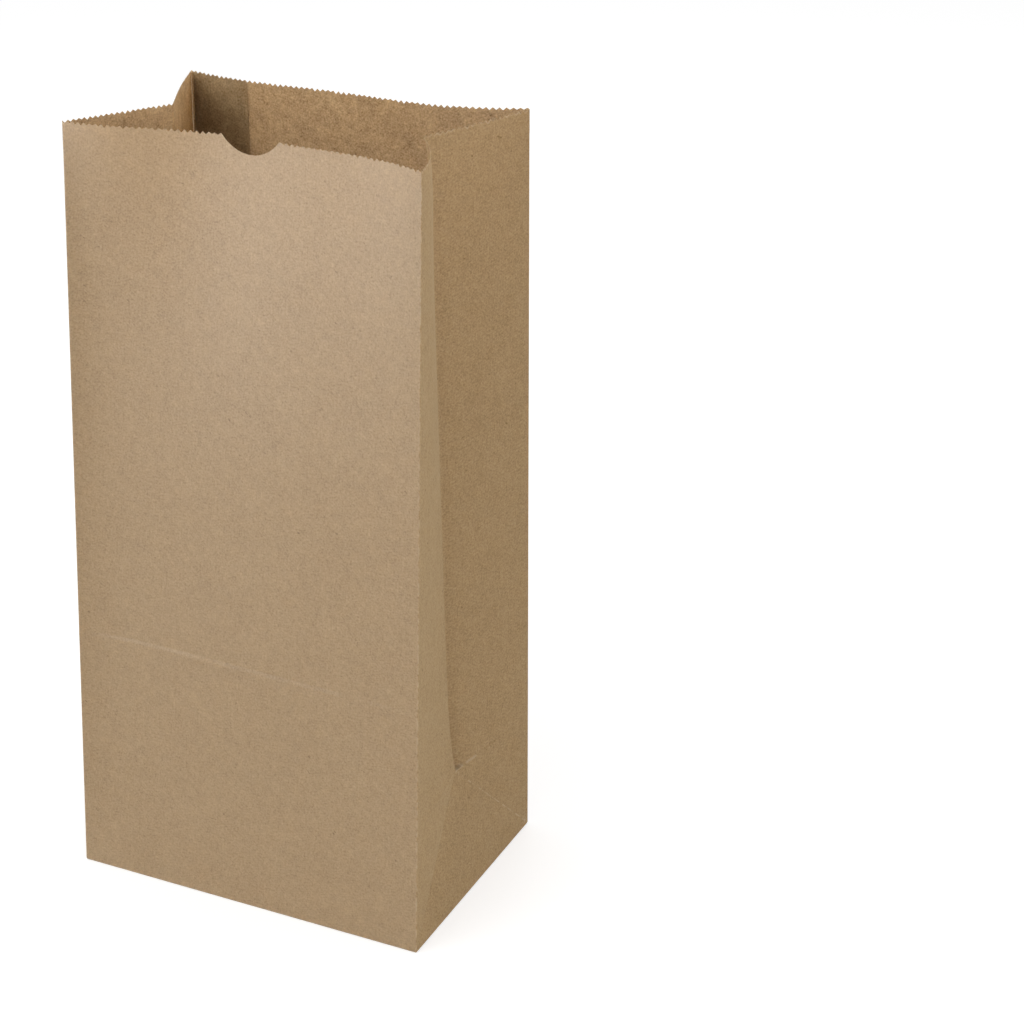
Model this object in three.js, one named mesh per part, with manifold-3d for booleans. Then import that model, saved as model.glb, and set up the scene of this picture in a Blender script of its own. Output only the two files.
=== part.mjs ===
import * as THREE from 'three';
import Module from 'manifold-3d';

// Brown paper lunch bag, opened out and standing on its flat base.
// It is one sheet, folded and glued: a front panel with a thumb notch, a back panel with the glued
// seam, a pleated gusset at each side, and a base of two flaps folded over the gussets' lower ends.
// Millimetres, +Z up, the front panel faces -Y, origin in the middle of the base at table level.

// Size of the opened bag and of its paper
const bagWidth = 157;
const bagDepth = 104.8;
const bagHeight = 314.3;
const paper = 0.1;

// Pinked mouth edge and thumb notch
const toothPitch = 2.5;
const toothDepth = 1.2;
const notchWidth = 26.5;
const notchDepth = 6.4;

// Seam: the sheet's two ends overlap on the back panel, next to its left-hand corner
const seamOverlap = 32;
const seamSetback = 1.5;
const pasteRamp = 0.4;

// Base flaps, each reaching past the middle of the base
const flapLap = 12;

// How far each corner of the mouth stands from above its base corner, in X and Y
const leanFrontLeft = new THREE.Vector2(9.7, 12.3);
const leanFrontRight = new THREE.Vector2(6.2, 3.8);
const leanBackRight = new THREE.Vector2(0.2, -0.7);
const leanBackLeft = new THREE.Vector2(3.5, 3.1);

// Inward bow of the panels at the mouth, as depths of one, two, three and four half-waves
const frontBow = [11.3, -0.6, -0.1, -1.4];
const backBow = [10.1, 2, 2.3];
const bowRise = 2;

// Gussets: how far the pleat is tucked in at its foot and at the mouth, and how far it leans forward
const tuckAtFoot = 8.7;
const rightTuckAtMouth = 17;
const leftTuckAtMouth = 24;
const pleatForward = 6;

// Just above the tip of each gusset triangle the pleat opens quickly, then evenly up to the mouth
const tipOpening = 2.9;
const tipOpeningReach = 12;

// The right-hand pleat springs a little further in over the last stretch below the mouth
const rightPleatSpring = 2;
const leftPleatSpring = 0;
const pleatSpringReach = 20;

// Outward belly of the four gusset halves at the mouth
const rightFrontBelly = 2.6;
const rightBackBelly = 1;
const leftFrontBelly = -0.4;
const leftBackBelly = 0.8;

// Fold left across the back panel where the flat bag's base was turned up
const baseFoldDepth = 0.7;

// Fineness of the facets
const panelColumns = 16;
const pleatColumns = 6;
const upperRows = 12;
const notchSteps = 14;
const mouthMargin = 4;

const pleatWidth = bagDepth / 2;
const floorUnderside = 2 * paper;
const floorTop = 3 * paper;
const panelHeight = bagHeight - floorUnderside;
const mouthBand = panelHeight - Math.max(notchDepth, toothDepth) - mouthMargin;
const perimeter = 2 * (bagWidth + bagDepth);

// Corner edges of the bag, straight from the base to the mouth
function cornerEdge(sideX, sideY, lean) {
  const foot = new THREE.Vector3(sideX * bagWidth / 2, sideY * bagDepth / 2, floorUnderside);
  const top = foot.clone().add(new THREE.Vector3(lean.x, lean.y, panelHeight));
  return (v) => foot.clone().lerp(top, v / panelHeight);
}
const frontLeft = cornerEdge(-1, -1, leanFrontLeft);
const frontRight = cornerEdge(1, -1, leanFrontRight);
const backRight = cornerEdge(1, 1, leanBackRight);
const backLeft = cornerEdge(-1, 1, leanBackLeft);

// Front and back panels: flat at the base, bowed inwards towards the mouth
function bowDepth(bow, s) {
  return bow.reduce((sum, depth, k) => sum + depth * Math.sin((k + 1) * Math.PI * s), 0);
}
function panelPoint(startEdge, endEdge, bow, inward, s, v) {
  const point = startEdge(v).lerp(endEdge(v), s);
  point.y += inward * bowDepth(bow, s) * (v / panelHeight) ** bowRise;
  return point;
}
function frontPoint(s, v) {
  return panelPoint(frontLeft, frontRight, frontBow, 1, s, v);
}
function backPoint(s, v) {
  const point = panelPoint(backRight, backLeft, backBow, -1, s, v);
  const fromFold = Math.abs(v - pleatWidth) / (pleatWidth / pleatColumns);
  point.y -= baseFoldDepth * Math.max(0, 1 - fromFold) * Math.sin(Math.PI * s);
  return point;
}

// Gussets: a flat triangle stands on the base edge, its two sides are 45 degree creases on the sheet,
// and above its tip the pleat's crease runs up to the mouth between the gusset's two halves.
function gusset(startEdge, endEdge, { inward, tuckAtMouth, pleatSpring, startBelly, endBelly }) {
  const tipRise = Math.sqrt(pleatWidth ** 2 - tuckAtFoot ** 2);
  const footMiddle = startEdge(0).lerp(endEdge(0), 0.5);
  const tip = footMiddle.clone().add(new THREE.Vector3(inward * tuckAtFoot, 0, tipRise));
  const triangleSlope = tip.clone().sub(footMiddle).divideScalar(pleatWidth);

  function crease(v) {
    const rise = (v - pleatWidth) / (panelHeight - pleatWidth);
    const point = startEdge(v).lerp(endEdge(v), 0.5);
    const opening = tipOpening * (1 - Math.exp((pleatWidth - v) / tipOpeningReach));
    const spring = Math.max(0, 1 - (panelHeight - v) / pleatSpringReach) ** 2 * pleatSpring;
    const evenTuck = THREE.MathUtils.lerp(tuckAtFoot, tuckAtMouth - tipOpening, rise);
    point.x += inward * (evenTuck + opening + spring);
    point.y -= pleatForward * rise;
    point.z -= (pleatWidth - tipRise) * (1 - rise);
    return point;
  }

  return (s, v) => {
    const inFirstHalf = s <= 0.5;
    const cornerFoot = inFirstHalf ? startEdge(0) : endEdge(0);
    const corner = inFirstHalf ? startEdge(v) : endEdge(v);
    const fromCorner = Math.min(s, 1 - s) * bagDepth;
    if (v < fromCorner) {
      return startEdge(0).lerp(endEdge(0), s).addScaledVector(triangleSlope, v);
    }
    if (v <= pleatWidth) {
      const diagonal = cornerFoot.lerp(tip, v / pleatWidth);
      return corner.lerp(diagonal, v > 0 ? fromCorner / v : 0);
    }
    const rise = (v - pleatWidth) / (panelHeight - pleatWidth);
    const belly = (inFirstHalf ? startBelly : endBelly) * rise ** bowRise;
    const point = corner.lerp(crease(v), fromCorner / pleatWidth);
    point.x -= inward * belly * Math.sin(Math.PI * fromCorner / pleatWidth);
    return point;
  };
}
const rightGusset = gusset(frontRight, backRight, {
  inward: -1,
  tuckAtMouth: rightTuckAtMouth,
  pleatSpring: rightPleatSpring,
  startBelly: rightFrontBelly,
  endBelly: rightBackBelly,
});
const leftGusset = gusset(backLeft, frontLeft, {
  inward: 1,
  tuckAtMouth: leftTuckAtMouth,
  pleatSpring: leftPleatSpring,
  startBelly: leftBackBelly,
  endBelly: leftFrontBelly,
});

// The sheet in order round the bag, u along the mouth from the front left corner, v up from the base
const panels = [
  { width: bagWidth, point: frontPoint },
  { width: bagDepth, point: rightGusset },
  { width: bagWidth, point: backPoint },
  { width: bagDepth, point: leftGusset },
];
const backStart = bagWidth + bagDepth;
const backEnd = backStart + bagWidth;
const innerEndOfSheet = backEnd - seamOverlap;
const outerEndOfSheet = backEnd - seamSetback;

function sheetPoint(u, v) {
  let start = 0;
  for (const panel of panels) {
    if (u <= start + panel.width) {
      return panel.point((u - start) / panel.width, v);
    }
    start += panel.width;
  }
  return panels[0].point(0, v);
}

// Layers: between the sheet's two ends the wall is double, and it steps in where the outer end stops
function rampAt(u, place) {
  return THREE.MathUtils.clamp((u - place) / pasteRamp + 0.5, 0, 1);
}
function outerRecess(u) {
  const pastEnd = THREE.MathUtils.clamp((backEnd - u) / (seamSetback - pasteRamp), 0, 1);
  return u < backEnd ? paper * rampAt(u, outerEndOfSheet) * pastEnd : 0;
}
function wallThickness(u) {
  const doubled = rampAt(u, innerEndOfSheet) - rampAt(u, outerEndOfSheet);
  return paper * (1 + doubled);
}

// Columns of the coarse grid: even on each panel, with the pleats and the ends of the sheet on columns
function gridColumns() {
  const columns = [];
  let start = 0;
  for (const panel of panels) {
    const isGusset = panel.width === bagDepth && start !== 0 && start !== backStart;
    const count = isGusset ? 2 * pleatColumns : panelColumns;
    for (let k = 0; k < count; k++) {
      columns.push(start + panel.width * k / count);
    }
    start += panel.width;
  }
  for (const end of [innerEndOfSheet, outerEndOfSheet]) {
    columns.push(end - pasteRamp / 2, end + pasteRamp / 2);
  }
  return columns.sort((a, b) => a - b);
}

// Rows of the coarse grid: even up to the tip of the gusset triangles, then closest near that tip
// and near the mouth
function gridRows() {
  const rows = [];
  for (let k = 0; k < pleatColumns; k++) {
    rows.push(pleatWidth * k / pleatColumns);
  }
  for (let k = 0; k <= upperRows; k++) {
    const rise = (1 - Math.cos(Math.PI * k / upperRows)) / 2;
    rows.push(THREE.MathUtils.lerp(pleatWidth, mouthBand, rise));
  }
  return rows;
}

// Mouth edge: teeth all round, and a smooth round-bottomed notch in the middle of the front panel
function mouthEdge() {
  const edge = [];
  const notchStart = (bagWidth - notchWidth) / 2;
  const notchEnd = notchStart + notchWidth;
  const notchRadius = (notchWidth ** 2 / 4 + notchDepth ** 2) / (2 * notchDepth);
  let start = 0;
  for (const panel of panels) {
    const halfTeeth = 2 * Math.round(panel.width / toothPitch);
    for (let k = 0; k < halfTeeth; k++) {
      const u = start + panel.width * k / halfTeeth;
      const inNotch = u > notchStart - toothPitch / 4 && u < notchEnd + toothPitch / 4;
      if (!inNotch) {
        edge.push(new THREE.Vector2(u, panelHeight - (k % 2 === 0 ? toothDepth : 0)));
      }
    }
    start += panel.width;
  }
  const reach = Math.atan2(notchWidth / 2, notchRadius - notchDepth);
  for (let k = 0; k <= notchSteps; k++) {
    const angle = reach * (2 * k / notchSteps - 1);
    const u = bagWidth / 2 + notchRadius * Math.sin(angle);
    edge.push(new THREE.Vector2(u, panelHeight + notchRadius - notchDepth - notchRadius * Math.cos(angle)));
  }
  return edge.sort((a, b) => a.x - b.x);
}

// Outer skin of the sheet, as points on the sheet and triangles between them
const columns = gridColumns();
const rows = gridRows();
const edge = mouthEdge();
const sheet = [];
for (const v of rows) {
  for (const u of columns) {
    sheet.push(new THREE.Vector2(u, v));
  }
}
const edgeStart = sheet.length;
sheet.push(...edge);

const skin = [];
const columnCount = columns.length;
const gridIndex = (row, column) => row * columnCount + column % columnCount;
for (let row = 0; row + 1 < rows.length; row++) {
  for (let column = 0; column < columnCount; column++) {
    const a = gridIndex(row, column);
    const b = gridIndex(row, column + 1);
    const c = gridIndex(row + 1, column + 1);
    const d = gridIndex(row + 1, column);
    // The crease from each base corner rises away from it, so the quads split along that slope
    const cellMiddle = (columns[column] + (columns[column + 1] ?? perimeter)) / 2;
    const intoGusset = (cellMiddle - bagWidth + perimeter) % (bagWidth + bagDepth);
    const risesForward = intoGusset < pleatWidth;
    if (risesForward) {
      skin.push(a, b, c, a, c, d);
    } else {
      skin.push(a, b, d, b, c, d);
    }
  }
}

// Strip between the top row of the grid and the mouth edge, advancing along whichever lags behind
const topRow = rows.length - 1;
let lower = 0;
let upper = 0;
while (lower < columnCount || upper < edge.length) {
  const nextLower = lower + 1 < columnCount ? columns[lower + 1] : perimeter;
  const nextUpper = upper + 1 < edge.length ? edge[upper + 1].x : perimeter;
  const lowerPoint = gridIndex(topRow, lower);
  const upperPoint = edgeStart + upper % edge.length;
  const advanceLower = upper === edge.length || (lower < columnCount && nextLower <= nextUpper);
  if (advanceLower) {
    skin.push(lowerPoint, gridIndex(topRow, lower + 1), upperPoint);
    lower += 1;
  } else {
    skin.push(lowerPoint, edgeStart + (upper + 1) % edge.length, upperPoint);
    upper += 1;
  }
}

// Wall: the outer skin and an inner skin one or two layers behind it
const middle = new THREE.BufferGeometry();
const middlePoints = sheet.map((p) => sheetPoint(p.x, p.y));
middle.setFromPoints(middlePoints);
middle.setIndex(skin);
middle.computeVertexNormals();
const normals = middle.getAttribute('normal');

const points = [];
for (const inner of [false, true]) {
  sheet.forEach((p, k) => {
    const normal = new THREE.Vector3().fromBufferAttribute(normals, k);
    const onFloor = k < columnCount;
    if (onFloor) {
      normal.setZ(0).normalize();
    }
    const depth = outerRecess(p.x) + (inner ? wallThickness(p.x) : 0);
    const point = middlePoints[k].clone().addScaledVector(normal, -depth);
    if (onFloor) {
      point.z = inner ? floorTop : floorUnderside;
    }
    points.push(point);
  });
}
const innerOffset = sheet.length;
const triangles = [...skin];
for (let k = 0; k < skin.length; k += 3) {
  triangles.push(skin[k] + innerOffset, skin[k + 2] + innerOffset, skin[k + 1] + innerOffset);
}

// Rim between the two skins along the mouth
for (let k = 0; k < edge.length; k++) {
  const a = edgeStart + k;
  const b = edgeStart + (k + 1) % edge.length;
  triangles.push(a, b, b + innerOffset, a, b + innerOffset, a + innerOffset);
}

// Floor, closed by a fan to its middle below and above
const underMiddle = points.push(new THREE.Vector3(0, 0, floorUnderside)) - 1;
const overMiddle = points.push(new THREE.Vector3(0, 0, floorTop)) - 1;
for (let column = 0; column < columnCount; column++) {
  const a = gridIndex(0, column);
  const b = gridIndex(0, column + 1);
  triangles.push(b, a, underMiddle, a + innerOffset, b + innerOffset, overMiddle);
}

const wasm = await Module();
wasm.setup();

function toSolid(pointList, triangleList) {
  const vertProperties = new Float32Array(pointList.flatMap((p) => [p.x, p.y, p.z]));
  const triVerts = new Uint32Array(triangleList);
  return new wasm.Manifold(new wasm.Mesh({ numProp: 3, vertProperties, triVerts }));
}

// Base flap: as wide as the base at its fold, with 45 degree sides, reaching past the middle
function flap(sideY, underside) {
  const halfWidth = bagWidth / 2 - paper;
  const foldY = bagDepth / 2 - paper;
  const reach = foldY + flapLap;
  const corners = [
    [-halfWidth, sideY * foldY],
    [halfWidth, sideY * foldY],
    [halfWidth - reach, sideY * (foldY - reach)],
    [reach - halfWidth, sideY * (foldY - reach)],
  ];
  if (sideY > 0) {
    corners.reverse();
  }
  const lowerCorners = corners.map(([x, y]) => new THREE.Vector3(x, y, underside));
  const upperCorners = corners.map(([x, y]) => new THREE.Vector3(x, y, (floorUnderside + floorTop) / 2));
  const faces = [0, 2, 1, 0, 3, 2, 4, 5, 6, 4, 6, 7];
  for (let k = 0; k < 4; k++) {
    const next = (k + 1) % 4;
    faces.push(k, next, next + 4, k, next + 4, k + 4);
  }
  return toSolid([...lowerCorners, ...upperCorners], faces);
}

const frontFlap = flap(-1, paper);
const backFlap = flap(1, 0);
const solid = toSolid(points, triangles).add(frontFlap).add(backFlap);

const solidMesh = solid.getMesh();
const geometry = new THREE.BufferGeometry();
geometry.setAttribute('position', new THREE.BufferAttribute(solidMesh.vertProperties, 3));
geometry.setIndex(new THREE.BufferAttribute(solidMesh.triVerts, 1));
geometry.computeVertexNormals();

const kraft = new THREE.MeshStandardMaterial({ color: 0xb39a77, roughness: 0.9, metalness: 0 });
const paperBag = new THREE.Mesh(geometry, kraft);
paperBag.name = 'paper_bag';

const bag = new THREE.Group();
bag.add(paperBag);

export default bag;
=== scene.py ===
import math

import bmesh
import bpy
import numpy as np
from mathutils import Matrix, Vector, noise


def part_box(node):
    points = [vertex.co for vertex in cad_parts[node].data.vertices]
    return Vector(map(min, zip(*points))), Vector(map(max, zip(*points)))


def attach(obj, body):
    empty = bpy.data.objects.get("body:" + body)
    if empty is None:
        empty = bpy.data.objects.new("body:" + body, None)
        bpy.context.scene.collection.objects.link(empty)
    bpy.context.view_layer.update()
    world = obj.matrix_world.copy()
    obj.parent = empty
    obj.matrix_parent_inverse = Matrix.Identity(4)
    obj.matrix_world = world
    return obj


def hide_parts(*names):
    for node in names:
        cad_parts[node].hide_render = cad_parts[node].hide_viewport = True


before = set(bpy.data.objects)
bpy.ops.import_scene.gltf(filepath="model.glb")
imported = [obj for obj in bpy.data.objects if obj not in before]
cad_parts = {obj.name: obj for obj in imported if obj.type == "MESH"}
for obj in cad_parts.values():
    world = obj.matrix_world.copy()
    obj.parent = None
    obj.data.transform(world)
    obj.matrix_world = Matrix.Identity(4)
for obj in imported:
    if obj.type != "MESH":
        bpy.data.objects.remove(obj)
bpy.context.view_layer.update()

# The sheet. The bag is one piece of brown kraft paper, cut off a paper web by a toothed knife, folded
# round into a tube and pasted. Points on it are placed by how far they lie along the sheet, from the
# end that is pasted inside, and how far up from the fold round the base.
mm = 0.001
low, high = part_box("paper_bag")
bag_width = -2 * low.x
bag_depth = -2 * low.y
bag_height = high.z
paper = 0.12 * mm

lap_width = 32 * mm
lap_setback = 1.5 * mm
back_left_fold = lap_width
front_left_fold = back_left_fold + bag_depth
front_right_fold = front_left_fold + bag_width
back_right_fold = front_right_fold + bag_depth
sheet_length = back_right_fold + bag_width - lap_setback

pleat_width = bag_depth / 2
left_pleat = back_left_fold + pleat_width
right_pleat = front_right_fold + pleat_width

base_level = 2.1 * paper
wall_height = bag_height - base_level

# Front and back panels. They stand between four straight corner folds that lean a little, lie flat
# at the base and bow inwards towards the open mouth. Across the back runs the fold where the flat
# bag had its base turned up, and the front keeps a faint line pressed by the base's edge.
lean_front_left = (9.7 * mm, 12.3 * mm)
lean_front_right = (6.2 * mm, 3.8 * mm)
lean_back_right = (0.2 * mm, -0.7 * mm)
lean_back_left = (3.5 * mm, 3.1 * mm)

# How far each panel bows in at the mouth, then the depth there of two, three and four bulges across
front_bow = (11.3 * mm, -0.6 * mm, -0.1 * mm, -1.4 * mm)
back_bow = (10.1 * mm, 2 * mm, 2.3 * mm)
front_bow_rise = 3
back_bow_rise = 1.3
wave_rise = 4

panel_crumple = 0.5 * mm
panel_crumple_span = 55 * mm
front_seed, back_seed, line_seed = 3.5, 8.5, 6.5
base_fold_depth = 0.7 * mm
base_fold_reach = 9 * mm
pressed_line_height = 0.45 * mm
pressed_line_reach = 2 * mm
pressed_line_span = 14 * mm
pressed_line_steady, pressed_line_uneven = 0.7, 0.6
fold_curl = 7 * mm
fold_curl_reach = 14 * mm
curl_rise, curl_fade = 0.5, 8

# Upright waves near the mouth: share of the width, reach and depth
upright_waves = ((0.115, 8 * mm, -0.15 * mm), (0.27, 14 * mm, 0.15 * mm))
upright_wave_rise = 6


def between(a, b, share):
    return a + (b - a) * np.reshape(share, (-1, 1))


def crumple(along, up, span, seed):
    """Gentle unevenness of handled paper, between about -1 and 1, with hollows about span apart."""
    return np.array([noise.noise((a, b, seed)) for a, b in zip(along / span, up / span)])


def corner_fold(side_x, side_y, lean):
    foot = np.array([side_x * bag_width / 2, side_y * bag_depth / 2, base_level])
    climb = np.array([lean[0], lean[1], wall_height])
    return lambda up: foot + np.outer(np.divide(up, wall_height), climb)


front_left = corner_fold(-1, -1, lean_front_left)
front_right = corner_fold(1, -1, lean_front_right)
back_right = corner_fold(1, 1, lean_back_right)
back_left = corner_fold(-1, 1, lean_back_left)


def ridge(distance, reach):
    return np.clip(1 - np.abs(distance) / reach, 0, 1)


def panel(start, end, bow, bow_rise, share, up):
    """Points of a panel between two corner folds, and how far each lies inwards of the flat panel."""
    points = between(start(up), end(up), share)
    height = up / wall_height
    main_bow = bow[0] * np.sin(np.pi * share) * height ** bow_rise
    waves = sum(depth * np.sin((k + 2) * np.pi * share) for k, depth in enumerate(bow[1:]))
    return points, main_bow + waves * height ** wave_rise


def front_panel(share, up):
    points, inward = panel(front_left, front_right, front_bow, front_bow_rise, share, up)
    across, height, free = share * bag_width, up / wall_height, np.sin(np.pi * share)
    inward += panel_crumple * crumple(across, up, panel_crumple_span, front_seed) * free
    for place, reach, depth in upright_waves:
        wave = np.exp(-((share - place) * bag_width / reach) ** 2)
        inward += depth * wave * height ** upright_wave_rise
    uneven = pressed_line_uneven * crumple(across, up, pressed_line_span, line_seed)
    pressed = pressed_line_height * (pressed_line_steady + uneven)
    inward -= pressed * ridge(up - bag_depth, pressed_line_reach)
    curl = fold_curl * (1 - np.exp(-across / fold_curl_reach)) * (1 - share)
    inward += curl * height ** curl_rise * (1 - height ** curl_fade)
    points[:, 1] += inward
    return points


def back_panel(share, up):
    points, inward = panel(back_right, back_left, back_bow, back_bow_rise, share, up)
    free = np.sin(np.pi * share)
    inward += panel_crumple * crumple(share * bag_width, up, panel_crumple_span, back_seed) * free
    inward += base_fold_depth * ridge(up - pleat_width, base_fold_reach) * free
    points[:, 1] -= inward
    return points


# Side gussets. Each has a flat triangle standing on the base edge, with creases at 45 degrees on the
# sheet. From the triangle's tip the pleat runs up to the mouth, tucked in between the gusset's halves.
tiny = 1e-9
tuck_at_foot = 8.7 * mm
tip_rise = math.sqrt(pleat_width ** 2 - tuck_at_foot ** 2)
tip_opening = 2.9 * mm
tip_opening_reach = 12 * mm
pleat_forward = 6 * mm
pleat_spring_reach = 20 * mm
gusset_crumple = 0.3 * mm
gusset_crumple_span = 40 * mm
gusset_seed = 5.5
gusset_fold_depth = 0.5 * mm
gusset_fold_reach = 4 * mm
gusset_line_length = 15 * mm
groove_depth = 3.0 * mm
groove_reach = 1.8 * mm
groove_height = 45 * mm
groove_least, groove_fade = 0.35, 6


def gusset(start, end, back_first, inward, tuck_at_mouth, spring, start_belly, end_belly):
    """The shape of a gusset between two corner folds. Its pleat tucks in along inward times +X."""
    foot_middle = between(start(0), end(0), 0.5)
    tip = foot_middle + [[inward * tuck_at_foot, 0, tip_rise]]
    slope = (tip - foot_middle) / pleat_width

    def points_at(share, up):
        first = share <= 0.5
        from_corner = np.minimum(share, 1 - share) * bag_depth
        corner = np.where(first[:, None], start(up), end(up))
        corner_foot = np.where(first[:, None], start(0), end(0))

        triangle = between(start(0), end(0), share) + slope * up[:, None]
        beside = between(corner_foot, tip, np.clip(up / pleat_width, 0, 1))
        beside = between(corner, beside, from_corner / np.maximum(up, tiny))

        rise = np.clip((up - pleat_width) / (wall_height - pleat_width), 0, 1)
        crease = between(start(up), end(up), 0.5)
        tuck = tuck_at_foot + (tuck_at_mouth - tip_opening - tuck_at_foot) * rise
        tuck += tip_opening * (1 - np.exp(np.minimum(0, pleat_width - up) / tip_opening_reach))
        tuck += spring * np.clip(1 - (wall_height - up) / pleat_spring_reach, 0, 1) ** 2
        crease[:, 0] += inward * tuck
        crease[:, 1] -= pleat_forward * rise
        crease[:, 2] -= (pleat_width - tip_rise) * (1 - rise)
        above = between(corner, crease, from_corner / pleat_width)

        free = np.sin(np.pi * from_corner / pleat_width)
        outward = np.where(first, start_belly, end_belly) * rise ** 2 * free
        along = share * bag_depth
        outward += gusset_crumple * crumple(along, up, gusset_crumple_span, gusset_seed + inward) * free
        on_back = first == back_first
        outward -= gusset_fold_depth * ridge(up - pleat_width, gusset_fold_reach) * free * on_back
        from_pleat = pleat_width - from_corner
        groove = groove_depth * (from_pleat / groove_reach) * np.exp(1 - from_pleat / groove_reach)
        fading = np.exp(np.minimum(0, pleat_width - up) / groove_height)
        fading = groove_least + (1 - groove_least) * fading
        outward -= groove * fading * (1 - (up / wall_height) ** groove_fade) * on_back
        above[:, 0] -= inward * outward

        in_triangle = (up < from_corner)[:, None]
        in_foot = (up <= pleat_width)[:, None]
        return np.where(in_triangle, triangle, np.where(in_foot, beside, above))

    return points_at


right_gusset = gusset(
    front_right, back_right, back_first=False, inward=-1,
    tuck_at_mouth=17 * mm, spring=2 * mm, start_belly=2.9 * mm, end_belly=1 * mm,
)
left_gusset = gusset(
    back_left, front_left, back_first=True, inward=1,
    tuck_at_mouth=24 * mm, spring=0, start_belly=0.7 * mm, end_belly=-0.4 * mm,
)


# The folded sheet. It starts with the lap that is pasted inside the back panel, goes round the left
# gusset, the front, the right gusset and the back, and ends just short of the corner that it started
# from. Below the base fold it turns under by a narrow margin.
lap_depth = 1.6 * paper
lap_ramp = 1.4 * mm
lap_lift = 0.55 * mm
lap_lift_reach = 3 * mm


def sheet_points(along, up):
    points = np.zeros((len(along), 3))

    def place(start, end, shape, width, offset=0.0):
        chosen = (along >= start - tiny) & (along <= end + tiny)
        share = np.clip((along[chosen] - start + offset) / width, 0, 1)
        points[chosen] = shape(share, up[chosen])

    place(0, back_left_fold, back_panel, bag_width, bag_width - lap_width)
    on_lap = along < back_left_fold
    sunk = np.clip((back_left_fold - along[on_lap]) / lap_ramp, 0, 1) * lap_depth
    points[on_lap, 1] -= sunk + lap_lift * np.clip(1 - along[on_lap] / lap_lift_reach, 0, 1) ** 2
    place(back_right_fold, sheet_length, back_panel, bag_width)
    place(front_left_fold, front_right_fold, front_panel, bag_width)
    place(back_left_fold, front_left_fold, left_gusset, bag_depth)
    place(front_right_fold, back_right_fold, right_gusset, bag_depth)
    return points


fold_margin = np.array([0.45, 1.0]) * mm
grid_pitch = 2.5 * mm


def stations(length):
    """Evenly spaced places from 0 to length, with closer ones next to both ends, where folds are."""
    even = np.linspace(0, length, round(length / grid_pitch) + 1)[1:-1]
    return np.concatenate(([0], fold_margin, even, length - fold_margin[::-1], [length]))


def joined(*parts):
    return np.unique(np.round(np.concatenate(parts), 8))


notch_width = 26.5 * mm
notch_depth = 6.4 * mm
mouth_band = wall_height - notch_depth - 3.6 * mm
band_shares = (0.12, 0.34, 0.58, 0.8)
above_tip = 4 * mm
upper_rows = 50

folds = [back_left_fold, left_pleat, front_left_fold, front_right_fold, right_pleat, back_right_fold]
groove_steps = groove_reach * np.array([0.9, 1.8, 2.3, 3.4])
line_steps = pressed_line_reach * np.array([-1, -0.5, 0, 0.5, 1])
columns = joined(
    left_pleat - groove_steps,
    right_pleat + groove_steps,
    stations(lap_width),
    back_left_fold + stations(pleat_width),
    left_pleat + stations(pleat_width),
    front_left_fold + stations(bag_width),
    front_right_fold + stations(pleat_width),
    right_pleat + stations(pleat_width),
    back_right_fold + stations(bag_width - lap_setback),
)
rows = joined(
    stations(pleat_width),
    pleat_width + fold_margin,
    np.linspace(pleat_width + above_tip, mouth_band, upper_rows),
    bag_depth + line_steps,
)

# The knife's teeth are left out here, so the mouth is a straight cut with the thumb notch in it
girth = 2 * (bag_width + bag_depth)
usual_pitch = 2.5 * mm
tooth_pitch = girth / round(girth / usual_pitch)
tooth_depth = 1.05 * mm
edge_strip = 0.5 * mm
notch_middle = front_left_fold + bag_width / 2
notch_radius = ((notch_width / 2) ** 2 + notch_depth ** 2) / (2 * notch_depth)
notch_reach = math.atan2(notch_width / 2, notch_radius - notch_depth)
notch_steps = 16
notch_angles = np.linspace(-notch_reach, notch_reach, notch_steps + 1)
notch_columns = notch_middle + notch_radius * np.sin(notch_angles)


def mouth_line(along):
    """Height of the cut mouth, without its teeth."""
    across = np.clip((along - notch_middle) / notch_radius, -1, 1)
    arc = notch_radius * (1 - np.sqrt(1 - across ** 2)) - notch_depth
    return wall_height + np.minimum(0, arc)


half_teeth = np.arange(0, sheet_length, tooth_pitch / 2)
half_teeth = half_teeth[np.abs(half_teeth - notch_middle) > notch_width / 2]
fold_columns = [fold + step for fold in folds for step in (0, *fold_margin, *-fold_margin)]
mouth_columns = joined(half_teeth, fold_columns, notch_columns, [sheet_length])

# Sheet positions of all points, row by row: the margin turned under, the walls and the mouth band
along_at, up_at, row_starts = [], [], []


def add_row(along, up):
    row_starts.append(sum(len(part) for part in along_at))
    along_at.append(along)
    up_at.append(np.broadcast_to(up, along.shape))


for margin in fold_margin[::-1]:
    add_row(columns, -margin)
for row in rows:
    add_row(columns, row)
for share in band_shares:
    add_row(mouth_columns, mouth_band + (mouth_line(mouth_columns) - mouth_band) * share)
for drop in (edge_strip, 0):
    add_row(mouth_columns, mouth_line(mouth_columns) - drop)
along_at, up_at = np.concatenate(along_at), np.concatenate(up_at)

points = sheet_points(along_at, np.maximum(up_at, 0))
turned = np.minimum(up_at, 0)
points[:, 0] *= 1 + 2 * turned / bag_width
points[:, 1] *= 1 + 2 * turned / bag_depth

# Folds are soft: each fold line is drawn back between its neighbours
base_row = len(fold_margin)
wall_rows = base_row + len(rows)
grid = points[: wall_rows * len(columns)].reshape(wall_rows, len(columns), 3)
band = points[wall_rows * len(columns):].reshape(-1, len(mouth_columns), 3)


def soften(strip, c):
    strip[:, c] = (strip[:, c - 1] + 2 * strip[:, c] + strip[:, c + 1]) / 4


for strip, places in ((grid, columns), (band, mouth_columns)):
    for fold in folds:
        soften(strip, int(np.argmin(np.abs(places - fold))))
soften(grid.swapaxes(0, 1), base_row)

faces, creases = [], []
alike = 1e-6


def from_corner(along):
    """How far into a gusset from its nearer corner fold, or less than 0 on the front and back."""
    left = min(along - back_left_fold, front_left_fold - along)
    right = min(along - front_right_fold, back_right_fold - along)
    return max(left, right)


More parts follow.
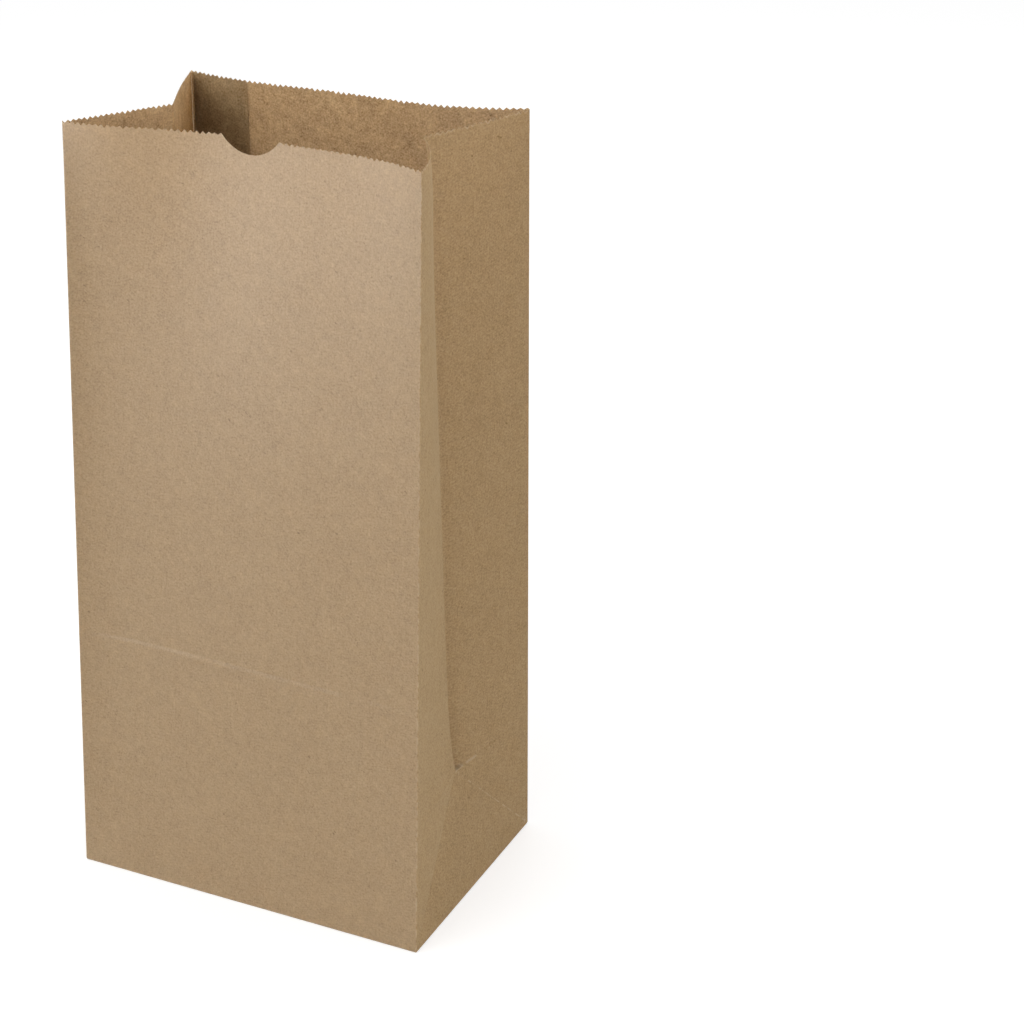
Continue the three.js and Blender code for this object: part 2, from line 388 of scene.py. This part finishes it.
for r in range(wall_rows - 1):
    lower, upper = row_starts[r], row_starts[r + 1]
    for c in range(len(columns) - 1):
        a, b = lower + c, lower + c + 1
        d, e = upper + c, upper + c + 1
        near, far = from_corner(columns[c]), from_corner(columns[c + 1])
        rising = abs(near - up_at[a]) + abs(far - up_at[e])
        falling = abs(near - up_at[d]) + abs(far - up_at[b])
        if rising < alike:
            faces += [(a, b, e), (a, e, d)]
            creases.append((a, e))
        elif falling < alike:
            faces += [(a, b, d), (b, e, d)]
            creases.append((b, d))
        else:
            faces.append((a, b, e, d))

# One strip joins the wide columns of the walls to the fine columns of the mouth
lower, upper, c, f = row_starts[wall_rows - 1], row_starts[wall_rows], 0, 0
while c + 1 < len(columns) or f + 1 < len(mouth_columns):
    wall_next = columns[c + 1] if c + 1 < len(columns) else math.inf
    mouth_next = mouth_columns[f + 1] if f + 1 < len(mouth_columns) else math.inf
    if wall_next <= mouth_next:
        faces.append((lower + c, lower + c + 1, upper + f))
        c += 1
    else:
        faces.append((lower + c, upper + f + 1, upper + f))
        f += 1
for r in range(wall_rows, len(row_starts) - 1):
    lower, upper = row_starts[r], row_starts[r + 1]
    for f in range(len(mouth_columns) - 1):
        faces.append((lower + f, lower + f + 1, upper + f + 1, upper + f))

# Along the mouth, the points that the knife's teeth move, and which way is back into the sheet
at_mouth = np.arange(len(points)) >= row_starts[-2]
in_notch = np.abs(along_at - notch_middle) < notch_width / 2 + alike
pinked = np.where(at_mouth & ~in_notch, 1.0, 0.0)
along_edge = along_at.copy()
into_sheet = np.tile([0.0, 0.0, -1.0], (len(points), 1))

# Distance of each point from the nearest fold or edge drawn pale, partly wear and partly painted
# highlight, and which panels are pressed smooth
far_from_fold = 10 * mm
to_fold = np.full(len(points), far_from_fold)
for fold in (back_left_fold, front_left_fold, front_right_fold, back_right_fold):
    to_fold = np.minimum(to_fold, np.abs(along_at - fold))
in_gusset = np.array([from_corner(along) for along in along_at])
smoothed = np.where(in_gusset > 0, 0.0, 1.0)
on_back_half = (along_at < left_pleat) | (along_at > right_pleat)
in_foot = (in_gusset > 0) & (up_at < pleat_width) & on_back_half
to_diagonal = np.abs(in_gusset - up_at) * math.sqrt(2)
to_fold = np.where(in_foot, np.minimum(to_fold, to_diagonal), to_fold)
near_tip = (in_gusset > pleat_width - gusset_line_length) & on_back_half
to_fold = np.where(near_tip, np.minimum(to_fold, np.abs(up_at - pleat_width)), to_fold)
to_fold = np.minimum(to_fold, np.abs(up_at))
# Along the gussets' mouth the cut edge gets the same pale line: partly wear, partly painted highlight
# where the turned edge catches light.
to_fold = np.where(in_gusset > 0, np.minimum(to_fold, mouth_line(along_at) - up_at), to_fold)

# Base. The lower ends of the gussets turn in flat first, then the front flap and last the back flap
# are folded over them and pasted. The last two have sides at 45 degrees. All four end in the knife's
# teeth.
flap_lap = 12 * mm
flap_reach = pleat_width + flap_lap
inset = fold_margin[-1]
# Each flap has a pale band along its edges, palest at the edge itself
flap_band = 1.6 * mm
flap_pale_edge_reach = 0.8 * mm
flap_start = 0.3 * mm
front_flap_level = base_level / 2

sheet_positions = np.column_stack((along_at, up_at))
parts = [points]
part_attributes = [(pinked, smoothed, along_edge, into_sheet, to_fold)]
part_positions = [sheet_positions]


def add_flap(corners, level, origin, fold_axis, reach_axis):
    """A flat flap with a pale band round it. Its corners are (across, reach), the free end's last."""
    a, b, c, d = corners
    width = abs(d[0] - c[0])
    steps = max(2, round(2 * width / tooth_pitch))
    end_shares = np.arange(steps + 1) / steps
    edge = np.array([a, b, *between(np.array(c), np.array(d), end_shares)])

    def half_width(reach):
        return np.interp(reach, (a[1], c[1]), (b[0], c[0]))

    inner = edge.copy()
    inner[:, 1] = np.clip(edge[:, 1], a[1] + flap_band, c[1] - flap_band)
    inner[:, 0] *= (half_width(inner[:, 1]) - flap_band * math.sqrt(2)) / half_width(edge[:, 1])
    outline = np.concatenate((edge, inner))

    origin, fold_axis, reach_axis = (np.array(v, float) for v in (origin, fold_axis, reach_axis))
    places = origin + outline[:, :1] * fold_axis + outline[:, 1:] * reach_axis
    places[:, 2] = level
    first = sum(len(part) for part in parts)
    count = len(edge)
    rings = [(k, (k + 1) % count, count + (k + 1) % count, count + k) for k in range(count)]
    rings.append(tuple(range(count, 2 * count)))
    turn = fold_axis[0] * reach_axis[1] - fold_axis[1] * reach_axis[0]
    for ring in rings:
        faces.append(tuple(first + k for k in (ring if turn < 0 else ring[::-1])))

    is_end = np.zeros(2 * count)
    is_end[2:count] = 1
    ends = np.zeros(2 * count)
    ends[2:count] = width * end_shares
    to_edge = np.repeat([-flap_pale_edge_reach, flap_band], count)
    into_flap = np.tile(-reach_axis, (2 * count, 1))
    parts.append(places)
    part_attributes.append((is_end, np.ones(2 * count), ends, into_flap, to_edge))
    part_positions.append(np.column_stack((outline[:, 0] + bag_width, -outline[:, 1])))


def flap_outline(start, half_width, end_half_width):
    near_fold = [(-half_width, start), (half_width, start)]
    return near_fold + [(end_half_width, flap_reach), (-end_half_width, flap_reach)]


side_half_width = pleat_width - inset
side_flap = flap_outline(inset, side_half_width, side_half_width)
long_flap = flap_outline(flap_start, bag_width / 2 - flap_start, bag_width / 2 - flap_reach)
add_flap(side_flap, base_level, (bag_width / 2, 0, 0), (0, 1, 0), (-1, 0, 0))
add_flap(side_flap, base_level, (-bag_width / 2, 0, 0), (0, 1, 0), (1, 0, 0))
add_flap(long_flap, front_flap_level, (0, -bag_depth / 2, 0), (1, 0, 0), (0, 1, 0))
add_flap(long_flap, 0, (0, bag_depth / 2, 0), (1, 0, 0), (0, -1, 0))

mesh = bpy.data.meshes.new("folded_sheet")
mesh.from_pydata(np.concatenate(parts).tolist(), [], faces)
mesh.update()
names = ("pinked", "smoothed", "along_edge", "into_sheet", "to_fold")
for name, values in zip(names, zip(*part_attributes)):
    values = np.concatenate(values)
    kind = "FLOAT_VECTOR" if values.ndim == 2 else "FLOAT"
    attribute = mesh.attributes.new(name, kind, "POINT")
    attribute.data.foreach_set("vector" if values.ndim == 2 else "value", values.ravel())
uv = mesh.uv_layers.new(name="sheet")
loop_points = np.zeros(len(mesh.loops), int)
mesh.loops.foreach_get("vertex_index", loop_points)
uv.data.foreach_set("uv", np.concatenate(part_positions)[loop_points].ravel())
crease_keys = {tuple(sorted(crease)) for crease in creases}
for edge in mesh.edges:
    if tuple(sorted(edge.vertices)) in crease_keys:
        edge.use_edge_sharp = True
bag = bpy.data.objects.new("paper_bag_sheet", mesh)
bpy.context.scene.collection.objects.link(bag)


# Kraft paper. Unbleached pulp: a matt brown sheet, cloudy where fibres lie thicker, with single
# fibres and a few dark flecks of bark. Along the folds it is drawn pale, partly wear from handling and
# partly painted highlight where a rounded fold catches light.
def shader_group(name, inputs, outputs):
    """An empty node group with the given sockets, and its input and output nodes."""
    group = bpy.data.node_groups.new(name, "ShaderNodeTree")
    for label, kind, value in inputs:
        socket = group.interface.new_socket(label, in_out="INPUT", socket_type=kind)
        if value is not None:
            socket.default_value = value
    for label, kind in outputs:
        group.interface.new_socket(label, in_out="OUTPUT", socket_type=kind)
    return group, group.nodes.new("NodeGroupInput"), group.nodes.new("NodeGroupOutput")


def node(tree, kind, links=(), **settings):
    """A node with its properties set and its inputs linked or given plain values."""
    made = tree.nodes.new(kind)
    for name, value in settings.items():
        setattr(made, name, value)
    for socket, value in dict(links).items():
        if isinstance(value, bpy.types.NodeSocket):
            tree.links.new(value, made.inputs[socket])
        else:
            made.inputs[socket].default_value = value
    return made


def math_node(tree, operation, a, b=0.5, clamp=False):
    return node(tree, "ShaderNodeMath", {0: a, 1: b}, operation=operation, use_clamp=clamp).outputs[0]


def noise_value(tree, position, size, detail, stretch=1.0, turn=0.0, shift=0.0):
    """Noise over the sheet in patches of the given size, drawn out by stretch in the direction turn."""
    mapped = node(tree, "ShaderNodeMapping", {
        "Vector": position,
        "Location": (shift, shift, shift),
        "Rotation": (0, 0, turn),
        "Scale": (stretch, 1, 1),
    }, vector_type="TEXTURE")
    return node(tree, "ShaderNodeTexNoise", {
        "Vector": mapped.outputs[0],
        "Scale": 1 / size,
        "Detail": detail,
        "Roughness": 0.6,
    }).outputs[0]


def build_kraft_group():
    group, given, result = shader_group(
        "kraft fibres",
        [("Position", "NodeSocketVector", None), ("Colour", "NodeSocketColor", None),
         ("Clouds", "NodeSocketFloat", 0.1), ("Fibres", "NodeSocketFloat", 0.1),
         ("Flecks", "NodeSocketFloat", 0.2), ("Shift", "NodeSocketFloat", 0.0)],
        [("Colour", "NodeSocketColor"), ("Height", "NodeSocketFloat")],
    )
    shifted = node(group, "ShaderNodeVectorMath", {0: given.outputs["Position"]}, operation="ADD")
    group.links.new(given.outputs["Shift"], shifted.inputs[1])
    position = shifted.outputs[0]

    clouds = noise_value(group, position, size=5 * mm, detail=3)
    blotches = noise_value(group, position, size=16 * mm, detail=2, shift=3.1)
    grain = noise_value(group, position, size=0.8 * mm, detail=2, shift=0.7)
    strands = [noise_value(group, position, size=0.6 * mm, detail=1, stretch=5, turn=turn, shift=turn)
               for turn in (0.3, 1.4, 2.5)]
    specks = noise_value(group, position, size=1.5 * mm, detail=1, stretch=2, turn=-0.5, shift=5.3)
    cloud_depth, blotch_depth, grain_depth, strand_depth = 1.4, 0.7, 1.4, 0.5
    speck_from, speck_sharpness = 0.73, 12.0
    browning = {"X": 1.0, "Y": 1.1, "Z": 1.3}

    def centred(value, amount):
        return math_node(group, "MULTIPLY", math_node(group, "SUBTRACT", value, 0.5), amount)

    cloud_sum = math_node(group, "ADD", centred(clouds, cloud_depth), centred(blotches, blotch_depth))
    cloud_part = math_node(group, "MULTIPLY", cloud_sum, given.outputs["Clouds"])
    fibre_sum = centred(grain, grain_depth)
    for strand in strands:
        fibre_sum = math_node(group, "ADD", fibre_sum, centred(strand, strand_depth))
    fibre_part = math_node(group, "MULTIPLY", fibre_sum, given.outputs["Fibres"])
    speck_mask = math_node(group, "SUBTRACT", specks, speck_from)
    speck_mask = math_node(group, "MULTIPLY", speck_mask, speck_sharpness, clamp=True)
    speck_part = math_node(group, "MULTIPLY", speck_mask, given.outputs["Flecks"])

    # Darker pulp is also browner
    tone = math_node(group, "SUBTRACT", math_node(group, "ADD", cloud_part, fibre_part), speck_part)
    shares = {axis: math_node(group, "ADD", math_node(group, "MULTIPLY", tone, share), 1.0)
              for axis, share in browning.items()}
    shade = node(group, "ShaderNodeCombineXYZ", shares).outputs[0]
    toned = node(group, "ShaderNodeVectorMath", {0: given.outputs["Colour"], 1: shade},
                 operation="MULTIPLY")
    group.links.new(toned.outputs[0], result.inputs["Colour"])
    group.links.new(fibre_sum, result.inputs["Height"])
    return group


def build_wear_and_highlight_group():
    # Mixes in a pale colour along the folds: partly wear, partly painted highlight where a fold catches
    # light.
    group, given, result = shader_group(
        "fold wear and highlight",
        [("Position", "NodeSocketVector", None), ("Colour", "NodeSocketColor", None),
         ("Worn And Highlit Colour", "NodeSocketColor", None), ("Distance", "NodeSocketFloat", 1.0),
         ("Width", "NodeSocketFloat", 0.001), ("Amount", "NodeSocketFloat", 0.5)],
        [("Colour", "NodeSocketColor")],
    )
    share = math_node(group, "DIVIDE", given.outputs["Distance"], given.outputs["Width"])
    line = math_node(group, "SUBTRACT", 1.0, share, clamp=True)
    broken_from, broken_sharpness = 0.42, 6.0
    broken = noise_value(group, given.outputs["Position"], size=2.4 * mm, detail=3, shift=2.2)
    broken = math_node(group, "SUBTRACT", broken, broken_from)
    broken = math_node(group, "MULTIPLY", broken, broken_sharpness, clamp=True)
    line = math_node(group, "MULTIPLY", line, broken)
    mask = math_node(group, "MULTIPLY", line, given.outputs["Amount"], clamp=True)
    mixed = node(group, "ShaderNodeMix", data_type="RGBA")
    colour_a, colour_b, colour_result = mixed.inputs[6], mixed.inputs[7], mixed.outputs[2]
    group.links.new(mask, mixed.inputs["Factor"])
    group.links.new(given.outputs["Colour"], colour_a)
    group.links.new(given.outputs["Worn And Highlit Colour"], colour_b)
    group.links.new(colour_result, result.inputs["Colour"])
    return group


kraft_fibres = build_kraft_group()
fold_wear_and_highlight = build_wear_and_highlight_group()
# Width of the pale lines along the folds, partly wear and partly painted highlight
wear_and_highlight_width = 0.9 * mm
relief = 0.05 * mm
relief_strength = 0.35
light_spread = 0.6 * mm
light_spread_by_colour = (1.0, 0.97, 0.92)


def kraft_material(name, colour, worn_and_highlit_colour, clouds, fibres, flecks, wear_and_highlight, shift, roughness, gloss):
    material = bpy.data.materials.new(name)
    material.use_nodes = True
    tree = material.node_tree
    shader = tree.nodes["Principled BSDF"]
    shader.inputs["Roughness"].default_value = roughness
    shader.inputs["Specular IOR Level"].default_value = gloss
    shader.inputs["Subsurface Weight"].default_value = 1
    shader.inputs["Subsurface Radius"].default_value = light_spread_by_colour
    shader.inputs["Subsurface Scale"].default_value = light_spread
    position = node(tree, "ShaderNodeUVMap", uv_map="sheet").outputs[0]
    distance = node(tree, "ShaderNodeAttribute", attribute_name="to_fold").outputs["Fac"]
    pulp = node(tree, "ShaderNodeGroup", node_tree=kraft_fibres)
    for label, value in (("Colour", colour), ("Clouds", clouds), ("Fibres", fibres),
                         ("Flecks", flecks), ("Shift", shift)):
        pulp.inputs[label].default_value = value
    tree.links.new(position, pulp.inputs["Position"])
    worn_and_highlit = node(tree, "ShaderNodeGroup", node_tree=fold_wear_and_highlight)
    for label, value in (("Worn And Highlit Colour", worn_and_highlit_colour), ("Width", wear_and_highlight_width), ("Amount", wear_and_highlight)):
        worn_and_highlit.inputs[label].default_value = value
    tree.links.new(position, worn_and_highlit.inputs["Position"])
    tree.links.new(pulp.outputs["Colour"], worn_and_highlit.inputs["Colour"])
    tree.links.new(distance, worn_and_highlit.inputs["Distance"])
    tree.links.new(worn_and_highlit.outputs["Colour"], shader.inputs["Base Color"])
    bump = node(tree, "ShaderNodeBump", {
        "Strength": relief_strength,
        "Distance": relief,
        "Height": pulp.outputs["Height"],
    })
    tree.links.new(bump.outputs[0], shader.inputs["Normal"])
    return material


kraft = (0.322, 0.214, 0.108, 1)
# The inside's colour is lighter than the outside's: partly the sheet's own paler inner side, partly
# painted light that makes up for the light the inside of the bag lacks.
kraft_inner_tone_and_painted_light = (0.42, 0.276, 0.14, 1)
# The pale colour along folds and edges: partly wear, partly painted highlight.
kraft_pale_worn_and_highlit = (0.50, 0.38, 0.25, 1)
outside = kraft_material("kraft_outside", kraft, kraft_pale_worn_and_highlit, clouds=0.17, fibres=0.57, flecks=0.3,
                         wear_and_highlight=0.55, shift=0.0, roughness=0.9, gloss=0.15)
# The inside's stronger clouds partly paint the uneven light that shines through the sheet from outside.
inside = kraft_material("kraft_inside", kraft_inner_tone_and_painted_light, kraft_pale_worn_and_highlit, clouds=0.5, fibres=0.9, flecks=0.3,
                        wear_and_highlight=0.15, shift=7.3, roughness=0.85, gloss=0.15)
cut = kraft_material("kraft_cut_edge", kraft, kraft_pale_worn_and_highlit, clouds=0.1, fibres=0.3, flecks=0.0,
                     wear_and_highlight=0.0, shift=2.9, roughness=0.9, gloss=0.1)

# Bags lie in a pack on their fronts and backs, which get pressed smooth there and shine faintly
shine_roughness = 0.4
tree = outside.node_tree
shader = tree.nodes["Principled BSDF"]
smoothed_face = node(tree, "ShaderNodeAttribute", attribute_name="smoothed").outputs["Fac"]
tree.links.new(smoothed_face, shader.inputs["Coat Weight"])
shader.inputs["Coat Roughness"].default_value = shine_roughness


# Pinking and thickness. The knife cuts every free end of the sheet into small teeth, and the sheet
# gets its thickness inwards from the outer face.
def build_pinked_paper():
    tree = bpy.data.node_groups.new("pinked paper", "GeometryNodeTree")
    sockets = {}
    tree.interface.new_socket("Geometry", in_out="INPUT", socket_type="NodeSocketGeometry")
    for label, kind in (("Tooth Pitch", "NodeSocketFloat"), ("Tooth Depth", "NodeSocketFloat"),
                        ("Thickness", "NodeSocketFloat"), ("Outside", "NodeSocketMaterial"),
                        ("Inside", "NodeSocketMaterial"), ("Cut Edge", "NodeSocketMaterial")):
        sockets[label] = tree.interface.new_socket(label, in_out="INPUT", socket_type=kind).identifier
    tree.interface.new_socket("Geometry", in_out="OUTPUT", socket_type="NodeSocketGeometry")
    given, result = tree.nodes.new("NodeGroupInput"), tree.nodes.new("NodeGroupOutput")

    def attribute(name, kind):
        return node(tree, "GeometryNodeInputNamedAttribute", {"Name": name}, data_type=kind).outputs[0]

    # From a valley at each whole pitch to a tip half way to the next
    teeth = math_node(tree, "DIVIDE", attribute("along_edge", "FLOAT"), given.outputs["Tooth Pitch"])
    rise = math_node(tree, "PINGPONG", teeth, 0.5)
    drop = math_node(tree, "SUBTRACT", 1.0, math_node(tree, "MULTIPLY", rise, 2.0))
    drop = math_node(tree, "MULTIPLY", drop, attribute("pinked", "FLOAT"))
    drop = math_node(tree, "MULTIPLY", drop, given.outputs["Tooth Depth"])
    nearest = math_node(tree, "ROUND", teeth)
    ragged = node(tree, "ShaderNodeTexWhiteNoise", {"W": nearest}, noise_dimensions="1D").outputs[0]
    least_tooth, tooth_spread = 0.6, 0.6
    ragged = math_node(tree, "ADD", math_node(tree, "MULTIPLY", ragged, tooth_spread), least_tooth)
    drop = math_node(tree, "MULTIPLY", drop, ragged)
    into_sheet = attribute("into_sheet", "FLOAT_VECTOR")
    cut_away = node(tree, "ShaderNodeVectorMath", {0: into_sheet, "Scale": drop}, operation="SCALE")
    pinked_sheet = node(tree, "GeometryNodeSetPosition", {
        "Geometry": given.outputs["Geometry"],
        "Offset": cut_away.outputs[0],
    })

    normal = node(tree, "GeometryNodeInputNormal").outputs[0]
    thickness = given.outputs["Thickness"]
    inward = math_node(tree, "MULTIPLY", thickness, -1.0)
    sink = node(tree, "ShaderNodeVectorMath", {0: normal, "Scale": inward}, operation="SCALE")
    inner = node(tree, "GeometryNodeSetPosition", {
        "Geometry": pinked_sheet.outputs[0],
        "Offset": sink.outputs[0],
    })
    turned_skin = node(tree, "GeometryNodeFlipFaces", {"Mesh": inner.outputs[0]})
    outer = node(tree, "GeometryNodeExtrudeMesh", {
        "Mesh": inner.outputs[0],
        "Offset Scale": thickness,
        "Individual": False,
    }, mode="FACES")
    both = tree.nodes.new("GeometryNodeJoinGeometry")
    tree.links.new(turned_skin.outputs[0], both.inputs[0])
    tree.links.new(outer.outputs["Mesh"], both.inputs[0])
    weld = 0.01 * mm
    closed = node(tree, "GeometryNodeMergeByDistance", {"Geometry": both.outputs[0], "Distance": weld})
    plain = node(tree, "GeometryNodeRealizeInstances", {"Geometry": closed.outputs[0]})

    is_outer, is_cut = outer.outputs["Top"], outer.outputs["Side"]
    is_inner = node(tree, "FunctionNodeBooleanMath", {0: is_outer, 1: is_cut}, operation="NOR").outputs[0]
    painted = plain
    for label, faces_of_kind in (("Outside", True), ("Inside", is_inner), ("Cut Edge", is_cut)):
        painted = node(tree, "GeometryNodeSetMaterial", {
            "Geometry": painted.outputs[0],
            "Selection": faces_of_kind,
            "Material": given.outputs[label],
        })
    tree.links.new(painted.outputs[0], result.inputs[0])
    return tree, sockets


pinked_paper, socket = build_pinked_paper()
modifier = bag.modifiers.new("pinked paper", "NODES")
modifier.node_group = pinked_paper
settings = {"Tooth Pitch": tooth_pitch, "Tooth Depth": tooth_depth, "Thickness": paper,
            "Outside": outside, "Inside": inside, "Cut Edge": cut}
for label, value in settings.items():
    modifier[socket[label]] = value
bag.update_tag()
depsgraph = bpy.context.evaluated_depsgraph_get()
finished = bpy.data.meshes.new_from_object(
    bag.evaluated_get(depsgraph), preserve_all_data_layers=True, depsgraph=depsgraph
)
bag.modifiers.clear()
bag.data = finished

# Smooth paper, with sharp cut edges; the gusset's creases are already sharp
sharp_angle = math.radians(60)
shaped = bmesh.new()
shaped.from_mesh(finished)
for face in shaped.faces:
    face.smooth = True
for edge in shaped.edges:
    if edge.calc_face_angle(0) > sharp_angle:
        edge.smooth = False
shaped.to_mesh(finished)
shaped.free()

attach(bag, "root")
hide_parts("paper_bag")


# Floor. A wide plain white studio floor that the bag stands on, with no edge in sight. The camera
# sees it a little lifted towards white, and it keeps the bag's shadow.
floor_size = 8.0
floor_gap = 0.05 * mm
floor_colour = (0.62, 0.62, 0.62, 1)
floor_lift = 0.56
floor_mesh = bpy.data.meshes.new("studio_floor")
half = floor_size / 2
floor_mesh.from_pydata([(-half, -half, -floor_gap), (half, -half, -floor_gap),
                        (half, half, -floor_gap), (-half, half, -floor_gap)], [], [(0, 1, 2, 3)])
floor = bpy.data.objects.new("studio_floor", floor_mesh)
bpy.context.scene.collection.objects.link(floor)
floor_paint = bpy.data.materials.new("studio_floor")
floor_paint.use_nodes = True
tree = floor_paint.node_tree
shader = tree.nodes["Principled BSDF"]
shader.inputs["Base Color"].default_value = floor_colour
shader.inputs["Roughness"].default_value = 0.9
shader.inputs["Specular IOR Level"].default_value = 0
shader.inputs["Emission Color"].default_value = (1, 1, 1, 1)


def seen_directly(tree):
    """1 for what the camera sees, also in a mirror or through glass, and 0 for what only gives light."""
    seen = node(tree, "ShaderNodeLightPath").outputs
    either = math_node(tree, "MAXIMUM", seen["Is Camera Ray"], seen["Is Glossy Ray"])
    return math_node(tree, "MAXIMUM", either, seen["Is Transmission Ray"])


lift = math_node(tree, "MULTIPLY", seen_directly(tree), floor_lift)
tree.links.new(lift, shader.inputs["Emission Strength"])
floor_mesh.materials.append(floor_paint)

# Light. A white room gives light from all round, also through the paper from behind. Softboxes add
# to it: two at the front left, high and low, one low at the right and one high behind.
room_light = 0.66
world = bpy.data.worlds.new("studio_room")
world.use_nodes = True
bpy.context.scene.world = world
tree = world.node_tree
background = tree.nodes["Background"]
background.inputs["Color"].default_value = (1, 1, 1, 1)
whiter = math_node(tree, "MULTIPLY", seen_directly(tree), 1 - room_light)
strength = math_node(tree, "ADD", whiter, room_light)
tree.links.new(strength, background.inputs["Strength"])
bag_middle = Vector((0, 0, bag_height / 2))


def softbox(name, place, width, height, power):
    lamp = bpy.data.lights.new(name, "AREA")
    lamp.shape = "RECTANGLE"
    lamp.size = width
    lamp.size_y = height
    lamp.energy = power
    holder = bpy.data.objects.new(name, lamp)
    holder.location = place
    holder.rotation_euler = (bag_middle - Vector(place)).to_track_quat("-Z", "Y").to_euler()
    bpy.context.scene.collection.objects.link(holder)


softbox("high_left_softbox", (-0.55, -1.05, 1.1), width=1.2, height=1.2, power=6.5)
softbox("low_left_softbox", (-0.96, -0.88, 0.13), width=1.24, height=0.26, power=4.6)
softbox("right_softbox", (1.06, -0.8, 0.25), width=0.9, height=0.4, power=6.4)
softbox("back_softbox", (0, 1.0, 1.3), width=1.0, height=1.0, power=3)

# Camera. It stands to the right of the front and looks down on the mouth, as in the photograph. Its
# place and lens follow from where the corners of the base and the mouth lie in the picture.
camera_azimuth = math.radians(25.08)
camera_elevation = math.radians(22.46)
camera_place = (0.4036, -0.6587, 0.4933)
sensor_width = 36
focal_length = 73.74
picture_shift = -0.05
lens = bpy.data.cameras.new("studio_camera")
lens.sensor_fit = "HORIZONTAL"
lens.sensor_width = sensor_width
lens.lens = focal_length
lens.shift_y = picture_shift
camera = bpy.data.objects.new("studio_camera", lens)
camera.location = camera_place
camera.rotation_euler = (math.pi / 2 - camera_elevation, 0, camera_azimuth)
bpy.context.scene.collection.objects.link(camera)
bpy.context.scene.camera = camera
bpy.context.scene.view_settings.view_transform = "Standard"
